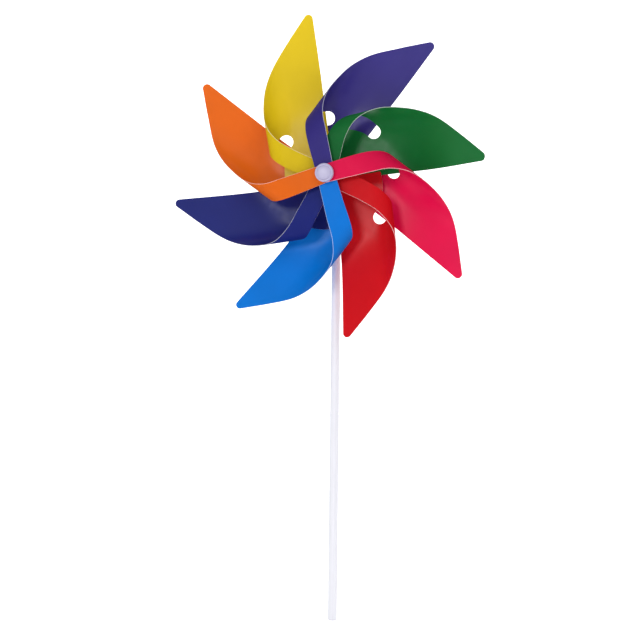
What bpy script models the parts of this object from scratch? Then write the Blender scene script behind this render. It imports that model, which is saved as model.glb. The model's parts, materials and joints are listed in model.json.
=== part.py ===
"""Eight-leaf pinwheel on a stick.

Metres, +Z up, front of the wheel towards -Y, origin at the middle of the stick's foot.
Each leaf is cut flat, rolled over once and pinned to the hub at both of its eyelets.
"""
import math

import bmesh
import bpy
from mathutils import Matrix, Vector

MM = 0.001

# Overall sizes
HUB_HEIGHT = 338 * MM
STICK_RADIUS = 3.5 * MM
STICK_ABOVE_HUB = 10 * MM
LEAF_COUNT = 8
GAP = 0.3 * MM                      # clearance between pieces that touch in the real object

# Leaf blank, flat: "along" runs from the hub to the tip, "across" is square to it
SHEET = 0.3 * MM
LEVEL_STEP = 0.6 * MM               # one sheet and the clearance to the next
EYELET_HOLE = 1.9 * MM
EYELET_RADIUS = 8.5 * MM
DISC_RADIUS = 41 * MM               # at the slot's end, narrowing towards the disc's end
DISC_END_RADIUS = 36 * MM
DISC_END_ANGLE = 91
SLOT_ANGLE = 44
TAIL_TURN = 36                      # the tail strip leans this far from "across"
TAIL_INNER = 51.4 * MM              # distance from the hub eyelet to the tail's inner edge
TAIL_ROOT_WIDTH = 16 * MM           # where the tail leaves the blade
TAIL_WIDTH = 12.8 * MM              # at its eyelet
TIP_CENTRE = (119.8 * MM, 1.0 * MM)
TIP_RADIUS = 3.2 * MM
STRAIGHT_EDGE_MIDDLE = (60 * MM, -0.5 * MM)
OUTER_EDGE = ((106.2 * MM, 18.4 * MM), (90.6 * MM, 31.8 * MM), (73.5 * MM, 42 * MM), (52.2 * MM, 52.2 * MM))
TAIL_EYELET = (TAIL_INNER + TAIL_WIDTH / 2) / math.sin(math.radians(TAIL_TURN))

# Leaf curl
FIRST_RISE = 24 * MM                # how far the innermost leaf's tail stands before its base
RING_GAP = 4 * MM                   # between the rear ring's tails and the front ring's
CURL_EASE = 0.65                    # 0 rolls the leaf as a plain arc, 1 eases it fully at both ends
DISC_EASE = 6                       # degrees past the slot's end over which the disc falls flat
DISC_STAY = 0.9                     # how much of the roll the disc leaves out
BEND_TURN = 30                      # the lean runs this far from "along", square to its own fold lines
BEND_START = 45 * MM                # the blade leans forward from here
BEND_LENGTH = 90 * MM
LEAN_FADE = (40 * MM, 25 * MM)      # the lean dies out across the roll, before the tail
SWEEP_START = 40 * MM               # a tail can lie askew: it swings about the hub from here on
SWEEP_LENGTH = 45 * MM
ROW_STEP = 4 * MM
COLUMN_STEP = 11 * MM

# Hub, as distances in front of the stick's axis
PIN_RADIUS = 1.5 * MM
BORE_RADIUS = PIN_RADIUS + GAP
SPACER_START = STICK_RADIUS + GAP
SPACER_LENGTH = 3.4 * MM
NUT_LENGTH = 2.2 * MM
WASHER_LENGTH = 0.8 * MM
WASHER_RADIUS = 6 * MM
SLEEVE_RADIUS = 3.2 * MM
CAP_RADIUS = 6.7 * MM
CAP_LENGTH = 4.2 * MM
STOP_LENGTH = 4 * MM
STOP_RADIUS = 4 * MM

# name, colour, tip angle seen from the front, stack place from the inside out, tip's lean forward,
# and the tail's swing about the hub in degrees
LEAVES = (
    ("leaf_red", (0.56, 0.004, 0.008), 277, 0, 26 * MM, 8),
    ("leaf_yellow", (0.72, 0.52, 0.010), 98, 1, 20 * MM, 8),
    ("leaf_navy", (0.010, 0.018, 0.165), 189, 2, 26 * MM, 2),
    ("leaf_green", (0.005, 0.170, 0.030), 5, 3, 42 * MM, 22),
    ("leaf_sky_blue", (0.002, 0.215, 0.780), 234.4, 4, 26 * MM, -1),
    ("leaf_purple", (0.048, 0.026, 0.240), 52, 5, 16 * MM, 0),
    ("leaf_orange", (0.800, 0.160, 0.010), 144, 6, 25 * MM, 3),
    ("leaf_pink", (0.790, 0.004, 0.075), 322.4, 7, 17 * MM, 0),
)
WHITE = (0.80, 0.79, 0.86)
LAVENDER = (0.62, 0.58, 0.80)
STEEL = (0.55, 0.55, 0.57)


def clear_scene():
    for item in list(bpy.data.objects):
        bpy.data.objects.remove(item, do_unlink=True)


def plastic(name, colour, roughness=0.4, metallic=0.0):
    material = bpy.data.materials.new(name)
    material.use_nodes = True
    shader = material.node_tree.nodes["Principled BSDF"]
    shader.inputs["Base Color"].default_value = (*colour, 1.0)
    shader.inputs["Roughness"].default_value = roughness
    shader.inputs["Metallic"].default_value = metallic
    return material


def add_object(name, mesh, material, parent=None):
    item = bpy.data.objects.new(name, mesh)
    bpy.context.collection.objects.link(item)
    mesh.materials.append(material)
    item.parent = parent
    return item


# Leaf blank

def arc(centre, radius, start, end, count, end_radius=None):
    """Points on an arc, angles in degrees; an end radius turns it into a spiral."""
    growth = 0 if end_radius is None else end_radius - radius
    points = []
    for step in range(count):
        part = step / (count - 1)
        angle = math.radians(start + (end - start) * part)
        reach = radius + growth * part
        points.append((centre[0] + reach * math.cos(angle), centre[1] + reach * math.sin(angle)))
    return points


def leaf_outline():
    """The blank's edge: straight edge, tip, outer edge, tail, slot, disc and hub eyelet."""
    lean = math.radians(TAIL_TURN)
    normal = Vector((math.cos(lean), math.sin(lean)))
    run = Vector((-math.sin(lean), math.cos(lean)))
    slot_radius = (TAIL_INNER - DISC_RADIUS) / 2
    slot_distance = DISC_RADIUS + slot_radius
    slot_turn = math.radians(SLOT_ANGLE)
    slot_centre = (slot_distance * math.cos(slot_turn), slot_distance * math.sin(slot_turn))
    tail_start = normal * (TAIL_INNER + TAIL_ROOT_WIDTH) + run * 32 * MM
    outline = [STRAIGHT_EDGE_MIDDLE]
    outline += arc(TIP_CENTRE, TIP_RADIUS, -88, 50, 6)
    outline += OUTER_EDGE
    outline.append(tuple(tail_start))
    outline += arc((0, TAIL_EYELET), TAIL_WIDTH / 2, TAIL_TURN, TAIL_TURN + 180, 9)
    outline += arc(slot_centre, slot_radius, TAIL_TURN, SLOT_ANGLE - 180, 7)
    outline += arc((0, 0), DISC_RADIUS, SLOT_ANGLE + 7, DISC_END_ANGLE, 8, DISC_END_RADIUS)
    outline += arc((0, 0), EYELET_RADIUS, DISC_END_ANGLE, 355, 14)
    return outline


def flat_sheet(loops):
    """Fill closed outlines, inner ones as holes, and return them as one flat BMesh."""
    curve = bpy.data.curves.new("blank", "CURVE")
    curve.dimensions = "2D"
    curve.fill_mode = "BOTH"
    for loop in loops:
        spline = curve.splines.new("POLY")
        spline.points.add(len(loop) - 1)
        for point, (along, across) in zip(spline.points, loop):
            point.co = (along, across, 0, 1)
        spline.use_cyclic_u = True
    outline = bpy.data.objects.new("blank", curve)
    bpy.context.collection.objects.link(outline)
    mesh = bpy.data.meshes.new_from_object(outline)
    sheet = bmesh.new()
    sheet.from_mesh(mesh)
    bpy.data.objects.remove(outline)
    bpy.data.curves.remove(curve)
    bpy.data.meshes.remove(mesh)
    bmesh.ops.remove_doubles(sheet, verts=sheet.verts, dist=0.01 * MM)
    bmesh.ops.dissolve_limit(
        sheet, angle_limit=math.radians(0.5), use_dissolve_boundaries=False,
        verts=sheet.verts, edges=sheet.edges)
    return sheet


def slice_sheet(sheet, axis, step):
    """Cut the sheet with parallel lines, so that it can bend."""
    direction = Vector((0, 0, 0))
    direction[axis] = 1
    places = [vertex.co[axis] for vertex in sheet.verts]
    for index in range(math.ceil(min(places) / step), math.floor(max(places) / step) + 1):
        parts = sheet.verts[:] + sheet.edges[:] + sheet.faces[:]
        bmesh.ops.bisect_plane(
            sheet, geom=parts, dist=0.01 * MM, plane_co=direction * index * step, plane_no=direction)


def blank():
    """The flat blank, cut into rows and columns."""
    hub_hole = arc((0, 0), EYELET_HOLE, 0, 330, 12)
    tail_hole = arc((0, TAIL_EYELET), EYELET_HOLE, 0, 330, 12)
    sheet = flat_sheet([leaf_outline(), hub_hole, tail_hole])
    slice_sheet(sheet, 1, ROW_STEP)
    slice_sheet(sheet, 0, COLUMN_STEP)
    return sheet


# Leaf curl

def smooth(value):
    value = min(max(value, 0.0), 1.0)
    return value * value * (3 - 2 * value)


class Roll:
    """Turns distance across the flat blank into (across, forward) on the rolled leaf."""

    SAMPLES = 400

    def __init__(self, rise):
        unit = self.integrate(1.0)[-1][1]
        self.length = rise / unit
        self.start = (TAIL_EYELET - self.length) / 2
        self.profile = self.integrate(self.length)

    def integrate(self, length):
        step = length / self.SAMPLES
        across, forward = 0.0, 0.0
        profile = [(0.0, 0.0)]
        for index in range(self.SAMPLES):
            part = (index + 0.5) / self.SAMPLES
            turn = math.pi * (CURL_EASE * smooth(part) + (1 - CURL_EASE) * part)
            across += math.cos(turn) * step
            forward += math.sin(turn) * step
            profile.append((across, forward))
        return profile

    def place(self, distance):
        if distance <= self.start:
            return distance, 0.0
        beyond = distance - self.start
        if beyond >= self.length:
            across, forward = self.profile[-1]
            return self.start + across - (beyond - self.length), forward
        whole, part = divmod(beyond / self.length * self.SAMPLES, 1.0)
        low, high = self.profile[int(whole)], self.profile[int(whole) + 1]
        across = low[0] + (high[0] - low[0]) * part
        return self.start + across, low[1] + (high[1] - low[1]) * part


def disc_share(along, across):
    """1 on the disc, which the slot frees from the roll, falling to 0 at the slot's end."""
    if math.hypot(along, across) > DISC_RADIUS + GAP:
        return 0.0
    return smooth((math.degrees(math.atan2(across, along)) - SLOT_ANGLE) / DISC_EASE)


def curl(along, across, roll, lean, sweep):
    """A point of the flat blank, on the curled leaf."""
    rolled, forward = roll.place(across)
    stay = DISC_STAY * disc_share(along, across)
    rolled = rolled * (1 - stay) + across * stay
    forward = forward * (1 - stay)
    turn = math.radians(BEND_TURN)
    reach = along * math.cos(turn) + across * math.sin(turn)
    bent = smooth((reach - BEND_START) / BEND_LENGTH) * (1 - smooth((across - LEAN_FADE[0]) / LEAN_FADE[1]))
    shortened = 0.6 * lean * lean / BEND_LENGTH * bent
    swing = math.radians(sweep) * smooth((across - SWEEP_START) / SWEEP_LENGTH)
    along -= shortened
    return (
        along * math.cos(swing) - rolled * math.sin(swing),
        along * math.sin(swing) + rolled * math.cos(swing), forward + lean * bent)


def make_leaf(name, colour, angle, place, lean, sweep, wheel):
    roll = Roll(FIRST_RISE + 2 * LEVEL_STEP * place + (RING_GAP if place >= LEAF_COUNT // 2 else 0))
    base = BACK_STACK + LEVEL_STEP * (LEAF_COUNT - 1 - place)
    sheet = blank()
    for vertex in sheet.verts:
        along, across, forward = curl(vertex.co.x, vertex.co.y, roll, lean, sweep)
        vertex.co = (along, -base - forward, across)
    mesh = bpy.data.meshes.new(name)
    sheet.to_mesh(mesh)
    sheet.free()
    leaf = add_object(name, mesh, plastic(name, colour), wheel)
    leaf.rotation_euler.y = -math.radians(angle)
    wall = leaf.modifiers.new("sheet", "SOLIDIFY")
    wall.thickness = SHEET
    wall.offset = 0


# Turned pieces

def turned(name, profile, front, material, wheel, sides=32):
    """Turn a (radius, length) profile, closed top to bottom, about the wheel's axis."""
    mesh = bpy.data.meshes.new(name)
    points = [(radius, 0, length) for radius, length in profile]
    edges = [(index, (index + 1) % len(points)) for index in range(len(points))]
    if profile[0][0] == 0:
        edges.pop()
    mesh.from_pydata(points, edges, [])
    item = add_object(name, mesh, material, wheel)
    item.rotation_euler.x = math.radians(90)
    item.location.y = -front
    screw = item.modifiers.new("turn", "SCREW")
    screw.steps = sides
    screw.render_steps = sides
    screw.use_merge_vertices = True
    screw.merge_threshold = 0.01 * MM
    screw.use_normal_calculate = True
    return item


def ring_profile(radius, length, edge, bore=BORE_RADIUS):
    """A ring with chamfered outer edges, from its front face round to its bore."""
    return [
        (bore, length), (radius - edge, length), (radius, length - edge),
        (radius, edge), (radius - edge, 0), (bore, 0)]


def cap_profile():
    """A low dome with a rounded rim and a blind bore for the pin."""
    dome = [(CAP_RADIUS * 0.78 * math.sin(t), 3.3 * MM + 0.9 * MM * math.cos(t)) for t in
            (math.radians(15 * step) for step in range(7))]
    rim = [(CAP_RADIUS - 0.9 * MM, 3.1 * MM), (CAP_RADIUS - 0.25 * MM, 2.7 * MM), (CAP_RADIUS, 2.0 * MM)]
    back = [(CAP_RADIUS, 0.4 * MM), (CAP_RADIUS - 0.4 * MM, 0), (BORE_RADIUS, 0),
            (BORE_RADIUS, 2.2 * MM), (0, 2.2 * MM)]
    return dome + rim + back


def make_stick():
    length = HUB_HEIGHT + STICK_ABOVE_HUB
    bpy.ops.mesh.primitive_cylinder_add(
        vertices=32, radius=STICK_RADIUS, depth=length, location=(0, 0, length / 2))
    stick = bpy.context.object
    stick.name = "stick"
    stick.data.materials.append(plastic("stick", WHITE, 0.35))
    bpy.ops.mesh.primitive_cylinder_add(
        vertices=20, radius=BORE_RADIUS, depth=4 * STICK_RADIUS,
        location=(0, 0, HUB_HEIGHT), rotation=(math.radians(90), 0, 0))
    drill = bpy.context.object
    drill.name = "pin_drill"
    drill.hide_render = True
    drill.display_type = "WIRE"
    bore = stick.modifiers.new("pin hole", "BOOLEAN")
    bore.operation = "DIFFERENCE"
    bore.solver = "EXACT"
    bore.object = drill


BACK_WASHER = SPACER_START + SPACER_LENGTH + GAP + NUT_LENGTH + GAP
BACK_STACK = BACK_WASHER + WASHER_LENGTH + GAP + SHEET / 2
SLEEVE_START = BACK_STACK + LEVEL_STEP * (LEAF_COUNT - 1) + SHEET / 2 + GAP
REAR_TAILS = BACK_STACK + LEVEL_STEP * (LEAF_COUNT - 1) + FIRST_RISE
COLLAR_START = REAR_TAILS + LEVEL_STEP * (LEAF_COUNT // 2 - 1) + SHEET / 2 + GAP
FRONT_TAILS = REAR_TAILS + LEVEL_STEP * LEAF_COUNT / 2 + RING_GAP
FRONT_WASHER = FRONT_TAILS + LEVEL_STEP * (LEAF_COUNT // 2 - 1) + SHEET / 2 + GAP
CAP_START = FRONT_WASHER + WASHER_LENGTH + GAP


def make_hub(wheel):
    white = plastic("hub plastic", WHITE, 0.4)
    steel = plastic("pin steel", STEEL, 0.3, 1.0)
    stop_start = -STICK_RADIUS - GAP - STOP_LENGTH
    turned("end_stop", ring_profile(STOP_RADIUS, STOP_LENGTH, 0.6 * MM), stop_start, white, wheel)
    turned("rear_spacer", ring_profile(3.4 * MM, SPACER_LENGTH, 0.5 * MM), SPACER_START, white, wheel)
    nut_start = SPACER_START + SPACER_LENGTH + GAP
    turned("back_nut", ring_profile(4.2 * MM, NUT_LENGTH, 0.5 * MM), nut_start, white, wheel, 6)
    washer = ring_profile(WASHER_RADIUS, WASHER_LENGTH, 0.2 * MM)
    turned("back_washer", washer, BACK_WASHER, white, wheel)
    sleeve_length = REAR_TAILS - SHEET / 2 - GAP - SLEEVE_START
    turned("hub_sleeve", ring_profile(SLEEVE_RADIUS, sleeve_length, 0.4 * MM), SLEEVE_START, white, wheel)
    collar_length = FRONT_TAILS - SHEET / 2 - GAP - COLLAR_START
    turned("tail_collar", ring_profile(SLEEVE_RADIUS, collar_length, 0.4 * MM), COLLAR_START, white, wheel)
    turned("front_washer", washer, FRONT_WASHER, white, wheel)
    turned("hub_cap", cap_profile(), CAP_START, plastic("hub cap", LAVENDER, 0.35), wheel, 48)
    pin_start = stop_start - 1.5 * MM
    pin_length = CAP_START + 1.8 * MM - pin_start
    edge = 0.3 * MM
    pin = [(0, pin_length), (PIN_RADIUS - edge, pin_length), (PIN_RADIUS, pin_length - edge),
           (PIN_RADIUS, edge), (PIN_RADIUS - edge, 0), (0, 0)]
    turned("axle_pin", pin, pin_start, steel, wheel, 20)


def main():
    clear_scene()
    wheel = bpy.data.objects.new("wheel_axis", None)
    bpy.context.collection.objects.link(wheel)
    wheel.matrix_world = Matrix.Translation((0, 0, HUB_HEIGHT))
    make_stick()
    for leaf in LEAVES:
        make_leaf(*leaf, wheel)
    make_hub(wheel)


main()
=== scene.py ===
"""Looks for the eight-leaf pinwheel: fine leaves, hub, stick, materials, light and camera."""
import json
import math

import bmesh
import bpy
from mathutils import Matrix, Vector


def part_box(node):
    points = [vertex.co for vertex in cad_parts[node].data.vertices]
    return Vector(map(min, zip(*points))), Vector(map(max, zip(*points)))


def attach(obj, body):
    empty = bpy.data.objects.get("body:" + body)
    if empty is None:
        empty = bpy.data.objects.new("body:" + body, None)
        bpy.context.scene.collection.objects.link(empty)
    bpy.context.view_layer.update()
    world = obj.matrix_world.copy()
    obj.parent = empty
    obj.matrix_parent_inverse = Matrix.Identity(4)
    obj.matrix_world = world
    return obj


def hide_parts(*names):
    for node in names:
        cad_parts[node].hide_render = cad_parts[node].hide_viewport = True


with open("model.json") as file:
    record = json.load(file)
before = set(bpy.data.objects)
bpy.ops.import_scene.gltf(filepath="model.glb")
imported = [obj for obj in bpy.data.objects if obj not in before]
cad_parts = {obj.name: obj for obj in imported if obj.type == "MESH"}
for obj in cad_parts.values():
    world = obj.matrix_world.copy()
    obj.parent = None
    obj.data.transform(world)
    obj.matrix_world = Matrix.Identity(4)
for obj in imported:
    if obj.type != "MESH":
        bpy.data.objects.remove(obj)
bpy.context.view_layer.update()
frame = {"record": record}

MM = 0.001

# Leaf blank, flat: "along" runs from the hub to the tip, "across" is square to it
LEAF_COUNT = 8
SHEET = 0.45 * MM                   # drawn thicker than the CAD's sheet, so that its edge shows
CAD_SHEET = 0.3 * MM
LEVEL_STEP = 0.6 * MM               # one CAD sheet and the clearance to the next
EYELET_HOLE = 1.9 * MM
EYELET_RADIUS = 8.5 * MM
DISC_RADIUS = 41 * MM               # at the slot's end, narrowing towards the disc's end
DISC_END_RADIUS = 36 * MM
DISC_END_ANGLE = 91
SLOT_ANGLE = 44
DISC_START_ANGLE = SLOT_ANGLE + 7   # clear of the slot's round end
TAIL_TURN = 36                      # the tail strip leans this far from "across"
TAIL_INNER = 51.4 * MM              # distance from the hub eyelet to the tail's inner edge
TAIL_ROOT_WIDTH = 16 * MM           # where the tail leaves the blade
TAIL_ROOT_RUN = 32 * MM             # how far along the tail its outer edge turns straight
TAIL_ROOT_EASE = 0.3                # the share of that straight run that the rounded turn takes
TAIL_WIDTH = 12.8 * MM              # at its eyelet
TIP_CENTRE = (119.8 * MM, 1.0 * MM)
TIP_RADIUS = 3.2 * MM
STRAIGHT_EDGE_MIDDLE = (60 * MM, -0.5 * MM)
OUTER_EDGE = (
    (106.2 * MM, 18.4 * MM), (90.6 * MM, 31.8 * MM), (73.5 * MM, 42 * MM), (52.2 * MM, 52.2 * MM))
TAIL_EYELET = (TAIL_INNER + TAIL_WIDTH / 2) / math.sin(math.radians(TAIL_TURN))
ROW_STEP = 1.8 * MM                 # between the lines that the sheet can bend along
COLUMN_STEP = 3.6 * MM

# Leaf curl
FIRST_RISE = 24 * MM                # how far the innermost leaf's tail stands before its base
RING_GAP = 4 * MM                   # between the rear ring's tails and the front ring's
CURL_EASE = 0.65                    # 0 rolls the leaf as a plain arc, 1 eases it fully at both ends
DISC_EASE = 6                       # degrees past the slot's end over which the disc falls flat
DISC_STAY = 0.9                     # how much of the roll the disc leaves out
BEND_TURN = 30                      # the lean runs this far from "along"
BEND_START = 45 * MM                # the blade leans forward from here
BEND_LENGTH = 90 * MM
BEND_SHORTENING = 0.6               # times lean squared over length: what a leaning tip draws in
LEAN_FADE = (40 * MM, 25 * MM)      # the lean dies out across the roll, before the tail
SWEEP_START = 40 * MM               # a tail can lie askew: it swings about the hub from here on
SWEEP_LENGTH = 45 * MM

# Pale rim along the tail
EDGE_BEAD = 0.24 * MM               # its radius
BEAD_FADE = 16                      # points over which it grows to its full radius
BEAD_START = 0.1                    # its first radius, as a share of the full one

# Node, colour, tip angle seen from the front, stack place from the inside out, tip's lean forward,
# and the tail's swing about the hub in degrees
LEAVES = (
    ("leaf_red", (0.57, 0.003, 0.008), 277, 0, 26 * MM, 8),
    ("leaf_yellow", (0.66, 0.47, 0.006), 98, 1, 20 * MM, 8),
    ("leaf_navy", (0.008, 0.014, 0.150), 189, 2, 26 * MM, 2),
    ("leaf_green", (0.003, 0.125, 0.024), 5, 3, 42 * MM, 22),
    ("leaf_sky_blue", (0.001, 0.165, 0.620), 234.4, 4, 26 * MM, -1),
    ("leaf_purple", (0.032, 0.023, 0.180), 52, 5, 16 * MM, 0),
    ("leaf_orange", (0.690, 0.118, 0.005), 144, 6, 25 * MM, 3),
    ("leaf_pink", (0.680, 0.002, 0.060), 322.4, 7, 17 * MM, 0),
)
WHITE_PLASTIC = (0.78, 0.77, 0.86)
STICK_WHITE = (0.76, 0.76, 0.82)
LAVENDER = (0.40, 0.375, 0.545)
STEEL = (0.55, 0.55, 0.57)
FRONT_SATIN = (0.17, 0.34)          # gloss and roughness
REVERSE_SATIN = (0.1, 0.52)
REVERSE_PAINTED_SHADE = 0.88                # painted shade: the leaf's back face is drawn darker than its front, standing in for the shade on the rolled tails
EDGE_TINTS = (0.45, 0.65)           # how far the cut sheet's colour goes towards white
BEAD_TINTS = (0.28, 0.45)
GRAIN_DEPTH = 0.02 * MM

# Hub and stick
PIN_CLEARANCE = 0.3 * MM
PIN_END = 0.4 * MM
STICK_EDGE = 0.5 * MM
CAP_RIM = 0.9 * MM
CAP_RIM_DROP = 0.25 * MM            # the rim's top, behind the dome's
CAP_GROOVE = 0.5 * MM               # between the dome and the rim
CAP_DOME = 0.35 * MM                # the dome's height

# Edges that meet at more than this angle stay sharp, in degrees
LEAF_CREASE = 45
TURNED_CREASE = 32
STICK_CREASE = 35

# Camera and light
CAMERA_AZIMUTH = 11.2
CAMERA_ELEVATION = 0.9
CAMERA_ROLL = 0.6
CAMERA_DISTANCE = 0.762
CAMERA_LENS = 55.4
CAMERA_TARGET = Vector((-0.0124, 0.0013, 0.2314))
WORLD_STRENGTH = 0.40
STAGE_HALF = 6.0
STAGE_WHITE = (0.9, 0.9, 0.9)
FLOOR_GLOW = 0.35
BACKDROP_DISTANCE = 1.4
BACKDROP_HEIGHT = 4
BACKDROP_GLOW = 0.75


# Materials

def new_material(name):
    material = bpy.data.materials.new(name)
    material.use_nodes = True
    return material, material.node_tree, material.node_tree.nodes["Principled BSDF"]


def add_node(tree, kind, **settings):
    node = tree.nodes.new(kind)
    for key, value in settings.items():
        setattr(node, key, value)
    return node


def noise(tree, scale, detail, stretch=(1, 1, 1)):
    """A noise texture in object space, in features per metre."""
    place = add_node(tree, "ShaderNodeTexCoord")
    mapping = add_node(tree, "ShaderNodeMapping")
    mapping.inputs["Scale"].default_value = stretch
    texture = add_node(tree, "ShaderNodeTexNoise")
    texture.inputs["Scale"].default_value = scale
    texture.inputs["Detail"].default_value = detail
    tree.links.new(place.outputs["Object"], mapping.inputs["Vector"])
    tree.links.new(mapping.outputs["Vector"], texture.inputs["Vector"])
    return texture.outputs["Fac"]


def ramp(tree, source, low, high):
    """Map 0.3 to 0.7 of a noise onto low to high."""
    scale = add_node(tree, "ShaderNodeMapRange")
    scale.inputs["From Min"].default_value = 0.3
    scale.inputs["From Max"].default_value = 0.7
    scale.inputs["To Min"].default_value = low
    scale.inputs["To Max"].default_value = high
    tree.links.new(source, scale.inputs["Value"])
    return scale.outputs["Result"]


def mix_colours(tree, factor, first, second):
    """Blend two colours; a colour mix node keeps them in its sockets 6 and 7."""
    mix = add_node(tree, "ShaderNodeMix", data_type="RGBA")
    tree.links.new(factor, mix.inputs["Factor"])
    mix.inputs[6].default_value = (*first, 1)
    mix.inputs[7].default_value = (*second, 1)
    return mix.outputs[2]


def bump(tree, source, shader, strength):
    node = add_node(tree, "ShaderNodeBump")
    node.inputs["Strength"].default_value = strength
    node.inputs["Distance"].default_value = GRAIN_DEPTH
    tree.links.new(source, node.inputs["Height"])
    tree.links.new(node.outputs["Normal"], shader.inputs["Normal"])


def tinted(colour, amount):
    return tuple(channel + (1 - channel) * amount for channel in colour)


def shaded(colour, amount):
    return tuple(channel * amount for channel in colour)


def leaf_plastic(name, colour, gloss, roughness):
    """Satin sheet: a faint mottle and a fine grain."""
    material, tree, shader = new_material(name)
    mottle = ramp(tree, noise(tree, 30, 3), 0, 1)
    body = mix_colours(tree, mottle, shaded(colour, 0.94), shaded(colour, 1.06))
    tree.links.new(body, shader.inputs["Base Color"])
    satin = ramp(tree, noise(tree, 220, 4), roughness - 0.04, roughness + 0.04)
    tree.links.new(satin, shader.inputs["Roughness"])
    shader.inputs["Specular IOR Level"].default_value = gloss
    bump(tree, noise(tree, 1400, 3), shader, 0.12)
    return material


def cut_edge_plastic(name, colour, low_tint, high_tint):
    """The cut face of the sheet, paler than its skin."""
    material, tree, shader = new_material(name)
    grain = ramp(tree, noise(tree, 900, 4), 0, 1)
    edge = mix_colours(tree, grain, tinted(colour, low_tint), tinted(colour, high_tint))
    tree.links.new(edge, shader.inputs["Base Color"])
    shader.inputs["Roughness"].default_value = 0.5
    return material


def moulded_plastic(name, colour, roughness):
    """Injection-moulded plastic: fine texture and a slight unevenness in colour and gloss."""
    material, tree, shader = new_material(name)
    mottle = ramp(tree, noise(tree, 140, 3), 0, 1)
    body = mix_colours(tree, mottle, shaded(colour, 0.95), colour)
    tree.links.new(body, shader.inputs["Base Color"])
    gloss = ramp(tree, noise(tree, 500, 4), roughness - 0.05, roughness + 0.07)
    tree.links.new(gloss, shader.inputs["Roughness"])
    bump(tree, noise(tree, 2600, 3), shader, 0.15)
    return material


def drawn_material(name, colour, stretch, metallic, roughness):
    """Extruded plastic or drawn wire: faint streaks along its length."""
    material, tree, shader = new_material(name)
    streaks = noise(tree, 900, 3, stretch)
    body = mix_colours(tree, ramp(tree, streaks, 0, 1), shaded(colour, 0.93), colour)
    tree.links.new(body, shader.inputs["Base Color"])
    gloss = ramp(tree, streaks, roughness - 0.06, roughness + 0.06)
    tree.links.new(gloss, shader.inputs["Roughness"])
    shader.inputs["Metallic"].default_value = metallic
    bump(tree, streaks, shader, 0.1)
    return material


# Leaf blank

def arc(centre, radius, start, end, count, end_radius=None):
    """Points on an arc, angles in degrees; an end radius turns it into a spiral."""
    growth = 0 if end_radius is None else end_radius - radius
    points = []
    for step in range(count):
        part = step / (count - 1)
        angle = math.radians(start + (end - start) * part)
        reach = radius + growth * part
        points.append((centre[0] + reach * math.cos(angle), centre[1] + reach * math.sin(angle)))
    return points


def rounded(points, pieces):
    """Points on a smooth curve through the given ones (Catmull-Rom), ends included."""
    ends = [points[0]] + list(points) + [points[-1]]
    curve = []
    for first, start, end, last in zip(ends, ends[1:], ends[2:], ends[3:]):
        for step in range(pieces):
            t = step / pieces
            curve.append(tuple(
                0.5 * (2 * b + (c - a) * t + (2 * a - 5 * b + 4 * c - d) * t * t
                       + (3 * b - a - 3 * c + d) * t ** 3)
                for a, b, c, d in zip(first, start, end, last)))
    return curve + [tuple(points[-1])]


def tail_start():
    """Where the tail's outer edge turns straight, and the straight run from there to its end."""
    lean = math.radians(TAIL_TURN)
    normal = Vector((math.cos(lean), math.sin(lean)))
    run = Vector((-math.sin(lean), math.cos(lean)))
    start = normal * (TAIL_INNER + TAIL_ROOT_WIDTH) + run * TAIL_ROOT_RUN
    end = Vector((0, TAIL_EYELET)) + normal * TAIL_WIDTH / 2
    return start, end - start


def leaf_outline():
    """The blank's edge: straight edge, tip, outer edge, tail, slot, disc and hub eyelet."""
    slot_radius = (TAIL_INNER - DISC_RADIUS) / 2
    slot_distance = DISC_RADIUS + slot_radius
    slot_turn = math.radians(SLOT_ANGLE)
    slot_centre = (slot_distance * math.cos(slot_turn), slot_distance * math.sin(slot_turn))
    tip = arc(TIP_CENTRE, TIP_RADIUS, -88, 50, 12)
    outline = [STRAIGHT_EDGE_MIDDLE]
    outline += tip[:-1]
    corner, straight = tail_start()
    outline += rounded(
        [tip[-1], *OUTER_EDGE, tuple(corner), tuple(corner + straight * TAIL_ROOT_EASE)], 5)
    outline += arc((0, TAIL_EYELET), TAIL_WIDTH / 2, TAIL_TURN, TAIL_TURN + 180, 19)
    outline += arc(slot_centre, slot_radius, TAIL_TURN, SLOT_ANGLE - 180, 17)
    outline += arc((0, 0), DISC_RADIUS, DISC_START_ANGLE, DISC_END_ANGLE, 20, DISC_END_RADIUS)
    outline += arc((0, 0), EYELET_RADIUS, DISC_END_ANGLE, 355, 34)
    return outline


def flat_sheet(loops):
    """Fill closed outlines, inner ones as holes, and return them as one flat BMesh."""
    curve = bpy.data.curves.new("blank", "CURVE")
    curve.dimensions = "2D"
    curve.fill_mode = "BOTH"
    for loop in loops:
        spline = curve.splines.new("POLY")
        spline.points.add(len(loop) - 1)
        for point, (along, across) in zip(spline.points, loop):
            point.co = (along, across, 0, 1)
        spline.use_cyclic_u = True
    outline = bpy.data.objects.new("blank", curve)
    bpy.context.collection.objects.link(outline)
    mesh = bpy.data.meshes.new_from_object(outline)
    sheet = bmesh.new()
    sheet.from_mesh(mesh)
    bpy.data.objects.remove(outline)
    bpy.data.curves.remove(curve)
    bpy.data.meshes.remove(mesh)
    bmesh.ops.remove_doubles(sheet, verts=sheet.verts, dist=0.01 * MM)
    bmesh.ops.dissolve_limit(
        sheet, angle_limit=math.radians(0.5), use_dissolve_boundaries=False,
        verts=sheet.verts, edges=sheet.edges)
    return sheet


def slice_sheet(sheet, axis, step):
    """Cut the sheet with parallel lines, so that it can bend."""
    direction = Vector((0, 0, 0))
    direction[axis] = 1
    places = [vertex.co[axis] for vertex in sheet.verts]
    for index in range(math.ceil(min(places) / step), math.floor(max(places) / step) + 1):
        bmesh.ops.bisect_plane(
            sheet, geom=sheet.verts[:] + sheet.edges[:] + sheet.faces[:], dist=0.01 * MM,
            plane_co=direction * index * step, plane_no=direction)


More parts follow.
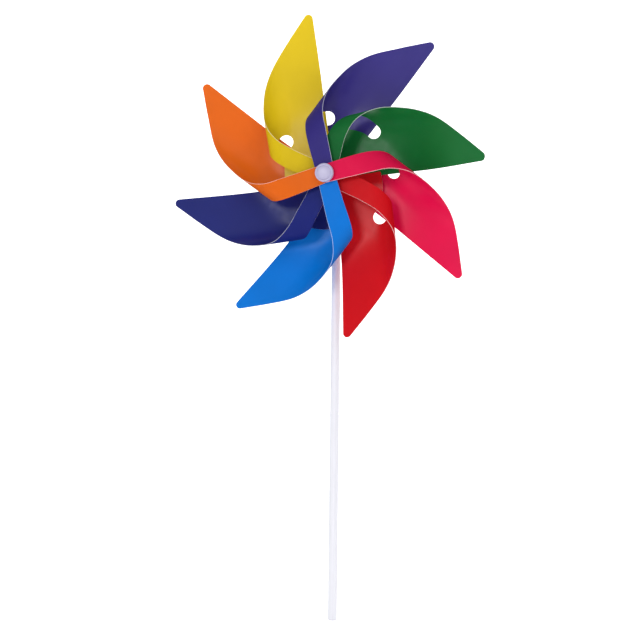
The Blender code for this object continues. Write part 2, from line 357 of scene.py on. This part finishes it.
def blank_mesh():
    """The flat blank, cut into rows and columns."""
    hub_hole = arc((0, 0), EYELET_HOLE, 0, 345, 24)
    tail_hole = arc((0, TAIL_EYELET), EYELET_HOLE, 0, 345, 24)
    sheet = flat_sheet([leaf_outline(), hub_hole, tail_hole])
    slice_sheet(sheet, 1, ROW_STEP)
    slice_sheet(sheet, 0, COLUMN_STEP)
    bmesh.ops.triangulate(sheet, faces=[face for face in sheet.faces if len(face.verts) > 4])
    mesh = bpy.data.meshes.new("leaf_blank")
    sheet.to_mesh(mesh)
    sheet.free()
    return mesh


# Leaf curl

def smooth(value):
    value = min(max(value, 0.0), 1.0)
    return value * value * (3 - 2 * value)


class Roll:
    """Turns distance across the flat blank into (across, forward) on the rolled leaf."""

    SAMPLES = 400

    def __init__(self, rise):
        unit = self.integrate(1.0)[-1][1]
        self.length = rise / unit
        self.start = (TAIL_EYELET - self.length) / 2
        self.profile = self.integrate(self.length)

    def integrate(self, length):
        step = length / self.SAMPLES
        across, forward = 0.0, 0.0
        profile = [(0.0, 0.0)]
        for index in range(self.SAMPLES):
            part = (index + 0.5) / self.SAMPLES
            turn = math.pi * (CURL_EASE * smooth(part) + (1 - CURL_EASE) * part)
            across += math.cos(turn) * step
            forward += math.sin(turn) * step
            profile.append((across, forward))
        return profile

    def place(self, distance):
        if distance <= self.start:
            return distance, 0.0
        beyond = distance - self.start
        if beyond >= self.length:
            across, forward = self.profile[-1]
            return self.start + across - (beyond - self.length), forward
        whole, part = divmod(beyond / self.length * self.SAMPLES, 1.0)
        low, high = self.profile[int(whole)], self.profile[int(whole) + 1]
        across = low[0] + (high[0] - low[0]) * part
        return self.start + across, low[1] + (high[1] - low[1]) * part


def disc_share(along, across):
    """1 on the disc, which the slot frees from the roll, falling to 0 at the slot's end."""
    if math.hypot(along, across) > DISC_RADIUS + CAD_SHEET:
        return 0.0
    return smooth((math.degrees(math.atan2(across, along)) - SLOT_ANGLE) / DISC_EASE)


def curl(along, across, roll, lean, sweep):
    """A point of the flat blank, on the curled leaf."""
    rolled, forward = roll.place(across)
    stay = DISC_STAY * disc_share(along, across)
    rolled = rolled * (1 - stay) + across * stay
    forward = forward * (1 - stay)
    turn = math.radians(BEND_TURN)
    reach = along * math.cos(turn) + across * math.sin(turn)
    faded = smooth((across - LEAN_FADE[0]) / LEAN_FADE[1])
    bent = smooth((reach - BEND_START) / BEND_LENGTH) * (1 - faded)
    shortened = BEND_SHORTENING * lean * lean / BEND_LENGTH * bent
    swing = math.radians(sweep) * smooth((across - SWEEP_START) / SWEEP_LENGTH)
    along -= shortened
    return (
        along * math.cos(swing) - rolled * math.sin(swing),
        along * math.sin(swing) + rolled * math.cos(swing), forward + lean * bent)


def wheel_axis():
    """The hinge's own point, in the row frame."""
    return Vector(frame["record"]["behaviour"]["joints"][0]["pos_m"])


def finish_mesh(item, sharp_angle):
    """Apply the modifiers, then shade smooth with hard edges where faces meet sharply."""
    graph = bpy.context.evaluated_depsgraph_get()
    mesh = bpy.data.meshes.new_from_object(item.evaluated_get(graph), depsgraph=graph)
    item.modifiers.clear()
    item.data = mesh
    work = bmesh.new()
    work.from_mesh(mesh)
    for face in work.faces:
        face.smooth = True
    for edge in work.edges:
        if len(edge.link_faces) == 2:
            edge.smooth = edge.calc_face_angle(0) < math.radians(sharp_angle)
    work.to_mesh(mesh)
    work.free()


def tail_edge():
    """Points along the blank's outer edge, from where the leaf turns over to the tail's end."""
    corner, straight = tail_start()
    turn = rounded([*OUTER_EDGE[-2:], tuple(corner), tuple(corner + straight * TAIL_ROOT_EASE)], 16)
    shares = (TAIL_ROOT_EASE + (1 - TAIL_ROOT_EASE) * step / 30 for step in range(1, 31))
    return turn + [tuple(corner + straight * share) for share in shares]


def make_bead(node, colour, place_point):
    """A pale rim along the tail's edge, fading in where the leaf turns over."""
    curve = bpy.data.curves.new(node + "_bead", "CURVE")
    curve.dimensions = "3D"
    curve.bevel_depth = EDGE_BEAD
    curve.bevel_resolution = 2
    curve.use_fill_caps = True
    points = tail_edge()
    spline = curve.splines.new("POLY")
    spline.points.add(len(points) - 1)
    for index, (point, (along, across)) in enumerate(zip(spline.points, points)):
        point.co = (*place_point(along, across), 1)
        point.radius = max(smooth(index / BEAD_FADE), BEAD_START)
    bead = bpy.data.objects.new(node + "_bead", curve)
    bpy.context.collection.objects.link(bead)
    mesh = bpy.data.meshes.new_from_object(bead)
    bpy.data.objects.remove(bead)
    bpy.data.curves.remove(curve)
    mesh.materials.append(cut_edge_plastic(node + "_bead", colour, *BEAD_TINTS))
    mesh.shade_smooth()
    bead = bpy.data.objects.new(node + "_bead", mesh)
    bpy.context.collection.objects.link(bead)
    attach(bead, "wheel")


def make_leaf(node, colour, angle, place, lean, sweep, blank, base_of_stack):
    """Curl a copy of the blank, turn it to its angle and give it its thickness and materials."""
    gap = RING_GAP if place >= LEAF_COUNT // 2 else 0
    roll = Roll(FIRST_RISE + 2 * LEVEL_STEP * place + gap)
    base = base_of_stack + LEVEL_STEP * (LEAF_COUNT - 1 - place)
    mesh = blank.copy()
    turn = Matrix.Rotation(-math.radians(angle), 4, "Y")

    def place_point(along, across):
        along, across, forward = curl(along, across, roll, lean, sweep)
        return wheel_axis() + turn @ Vector((along, -base - forward, across))

    for vertex in mesh.vertices:
        vertex.co = place_point(vertex.co.x, vertex.co.y)
    leaf = bpy.data.objects.new(node + "_sheet", mesh)
    bpy.context.collection.objects.link(leaf)
    mesh.materials.append(leaf_plastic(node, colour, *FRONT_SATIN))
    mesh.materials.append(cut_edge_plastic(node + "_edge", colour, *EDGE_TINTS))
    # painted shade: the back face takes the leaf's colour darkened, for the shade on the rolled
    # tails
    painted_shade_reverse = shaded(colour, REVERSE_PAINTED_SHADE)
    mesh.materials.append(leaf_plastic(node + "_reverse", painted_shade_reverse, *REVERSE_SATIN))
    wall = leaf.modifiers.new("sheet", "SOLIDIFY")
    wall.thickness = SHEET
    wall.offset = 0
    wall.material_offset = 2
    wall.material_offset_rim = 1
    finish_mesh(leaf, LEAF_CREASE)
    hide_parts(node)
    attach(leaf, "wheel")
    make_bead(node, colour, place_point)


# Turned pieces

def turned(name, profile, origin, turn, material, steps=64):
    """Spin a (radius, length) profile about the +Z axis, then turn and move it."""
    mesh = bpy.data.meshes.new(name)
    points = [(radius, 0, length) for radius, length in profile]
    edges = [(index, index + 1) for index in range(len(points) - 1)]
    if profile[0][0] > 0:
        edges.append((len(points) - 1, 0))
    mesh.from_pydata(points, edges, [])
    item = bpy.data.objects.new(name, mesh)
    bpy.context.collection.objects.link(item)
    mesh.materials.append(material)
    screw = item.modifiers.new("turn", "SCREW")
    screw.steps = steps
    screw.render_steps = steps
    screw.use_merge_vertices = True
    screw.merge_threshold = 0.01 * MM
    screw.use_normal_calculate = True
    finish_mesh(item, TURNED_CREASE)
    item.data.transform(Matrix.Translation(origin) @ turn)
    return item


def ring_profile(bore, radius, length, edge):
    """A ring with rounded outer edges and eased bore edges."""
    ease = edge * 0.4
    front = arc((radius - edge, length - edge), edge, 90, 0, 6)
    back = arc((radius - edge, edge), edge, 0, -90, 6)
    eased_front = [(bore, length - ease), (bore + ease, length)]
    eased_back = [(bore + ease, 0), (bore, ease)]
    return eased_front + front + back + eased_back


def cap_profile(radius, length, bore):
    """A shallow dome inside a rounded rim, with a blind bore behind it."""
    ease = 0.5 * MM
    dome_edge = radius - 2.1 * CAP_RIM
    dome = [(dome_edge * part / 8, length - CAP_DOME * (part / 8) ** 2) for part in range(9)]
    groove = [(dome_edge + 0.5 * CAP_GROOVE, length - 1.1 * CAP_GROOVE),
              (dome_edge + CAP_GROOVE, length - CAP_GROOVE)]
    rim = arc((radius - CAP_RIM, length - CAP_RIM_DROP - CAP_RIM), CAP_RIM, 105, 0, 9)
    back = [(radius, ease), (radius - ease, 0)]
    blind_bore = [(bore, 0), (bore, 0.5 * length), (0, 0.5 * length)]
    return dome + groove + rim + back + blind_bore


def hub_piece(node, material, bore, edge, steps=64, profile=None):
    """Replace a turned hub node by a finer one that fills the same box."""
    low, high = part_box(node)
    radius = (high[0] - low[0]) / 2
    length = high[1] - low[1]
    centre = wheel_axis()
    shape = profile(radius, length, bore) if profile else ring_profile(bore, radius, length, edge)
    facing = Matrix.Rotation(math.radians(90), 4, "X")
    origin = Vector((centre.x, high[1], centre.z))
    piece = turned(node + "_fine", shape, origin, facing, material, steps)
    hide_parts(node)
    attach(piece, "wheel")
    return piece


def pin_profile(radius, length, end):
    """A solid pin whose ends are rounded by the given radius."""
    front = arc((radius - end, length - end), end, 90, 0, 6)
    back = arc((radius - end, end), end, 0, -90, 6)
    return [(0, length), *front, *back, (0, 0)]


def pin_bore():
    """Radius of the holes that the pin goes through."""
    low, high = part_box("axle_pin")
    return (high[0] - low[0]) / 2 + PIN_CLEARANCE


def make_hub():
    bore = pin_bore()
    white = moulded_plastic("hub_white", WHITE_PLASTIC, 0.42)
    cap = moulded_plastic("cap_lavender", LAVENDER, 0.34)
    steel = drawn_material("pin_steel", STEEL, (1, 0.03, 1), 1.0, 0.3)
    for node, edge in (("end_stop", 0.7), ("rear_spacer", 0.6), ("back_washer", 0.25),
                       ("hub_sleeve", 0.4), ("tail_collar", 0.4), ("front_washer", 0.25)):
        hub_piece(node, white, bore, edge * MM)
    hub_piece("back_nut", white, bore, 0.5 * MM, 6)
    hub_piece("hub_cap", cap, bore, 0, 96, cap_profile)
    hub_piece("axle_pin", steel, PIN_END, 0, 48, pin_profile)


def make_stick():
    """The rod, with its cross hole for the pin."""
    low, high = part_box("stick")
    radius = (high[0] - low[0]) / 2
    length = high[2] - low[2]
    edge = STICK_EDGE
    profile = [(0, length), *arc((radius - edge, length - edge), edge, 90, 0, 7),
               *arc((radius - edge, edge), edge, 0, -90, 7), (0, 0)]
    plastic = drawn_material("stick_white", STICK_WHITE, (1, 1, 0.01), 0.0, 0.36)
    stick = turned("stick_rod", profile, Vector((0, 0, low[2])), Matrix.Identity(4), plastic)
    bpy.ops.mesh.primitive_cylinder_add(
        vertices=48, radius=pin_bore(), depth=6 * radius, location=wheel_axis(),
        rotation=(math.radians(90), 0, 0))
    drill = bpy.context.object
    bore = stick.modifiers.new("pin hole", "BOOLEAN")
    bore.operation = "DIFFERENCE"
    bore.solver = "EXACT"
    bore.object = drill
    finish_mesh(stick, STICK_CREASE)
    bpy.data.objects.remove(drill)
    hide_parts("stick")
    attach(stick, "stick")


# Stage, light and camera

def stage_surface(name, corners, glow):
    """A matt white, faintly glowing sheet that belongs to the stage."""
    mesh = bpy.data.meshes.new(name)
    mesh.from_pydata(corners, [], [tuple(range(len(corners)))])
    item = bpy.data.objects.new(name, mesh)
    bpy.context.collection.objects.link(item)
    material, _, shader = new_material(name)
    shader.inputs["Base Color"].default_value = (*STAGE_WHITE, 1)
    shader.inputs["Roughness"].default_value = 0.9
    shader.inputs["Emission Color"].default_value = (1, 1, 1, 1)
    shader.inputs["Emission Strength"].default_value = glow
    mesh.materials.append(material)


def add_light(name, place, target, size, power):
    light = bpy.data.lights.new(name, "AREA")
    light.shape = "DISK"
    light.size = size
    light.energy = power
    item = bpy.data.objects.new(name, light)
    item.location = place
    item.rotation_euler = (Vector(target) - Vector(place)).to_track_quat("-Z", "Y").to_euler()
    bpy.context.collection.objects.link(item)


def make_stage():
    half, wall = STAGE_HALF, BACKDROP_DISTANCE
    floor = [(-half, -half, 0), (half, -half, 0), (half, half, 0), (-half, half, 0)]
    stage_surface("floor", floor, FLOOR_GLOW)
    backdrop = [(-half, wall, 0), (half, wall, 0),
                (half, wall, BACKDROP_HEIGHT), (-half, wall, BACKDROP_HEIGHT)]
    stage_surface("backdrop", backdrop, BACKDROP_GLOW)
    world = bpy.data.worlds.new("studio")
    world.use_nodes = True
    background = world.node_tree.nodes["Background"]
    background.inputs["Color"].default_value = (1, 1, 1, 1)
    background.inputs["Strength"].default_value = WORLD_STRENGTH
    bpy.context.scene.world = world
    hub = wheel_axis()
    add_light("key_softbox", (0.9, -1.7, 1.6), hub, 2.2, 14)
    add_light("front_softbox", (-0.42, -2.0, 0.65), hub, 0.5, 10.5)
    add_light("floor_softbox", (0, 0.6, 2.2), (0, 0.5, 0), 2.0, 10)


def make_camera():
    azimuth, elevation = math.radians(CAMERA_AZIMUTH), math.radians(CAMERA_ELEVATION)
    back = Vector((
        math.sin(azimuth) * math.cos(elevation), -math.cos(azimuth) * math.cos(elevation),
        math.sin(elevation)))
    data = bpy.data.cameras.new("camera")
    data.lens = CAMERA_LENS
    camera = bpy.data.objects.new("camera", data)
    roll = Matrix.Rotation(math.radians(CAMERA_ROLL), 3, "Z")
    camera.rotation_euler = (back.to_track_quat("Z", "Y").to_matrix() @ roll).to_euler()
    camera.location = CAMERA_TARGET + back * CAMERA_DISTANCE
    bpy.context.collection.objects.link(camera)
    bpy.context.scene.camera = camera
    bpy.context.scene.view_settings.view_transform = "Standard"


def main():
    blank = blank_mesh()
    base_of_stack = -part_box("leaf_pink")[1][1] + CAD_SHEET / 2
    for leaf in LEAVES:
        make_leaf(*leaf, blank, base_of_stack)
    bpy.data.meshes.remove(blank)
    make_hub()
    make_stick()
    make_stage()
    make_camera()


main()
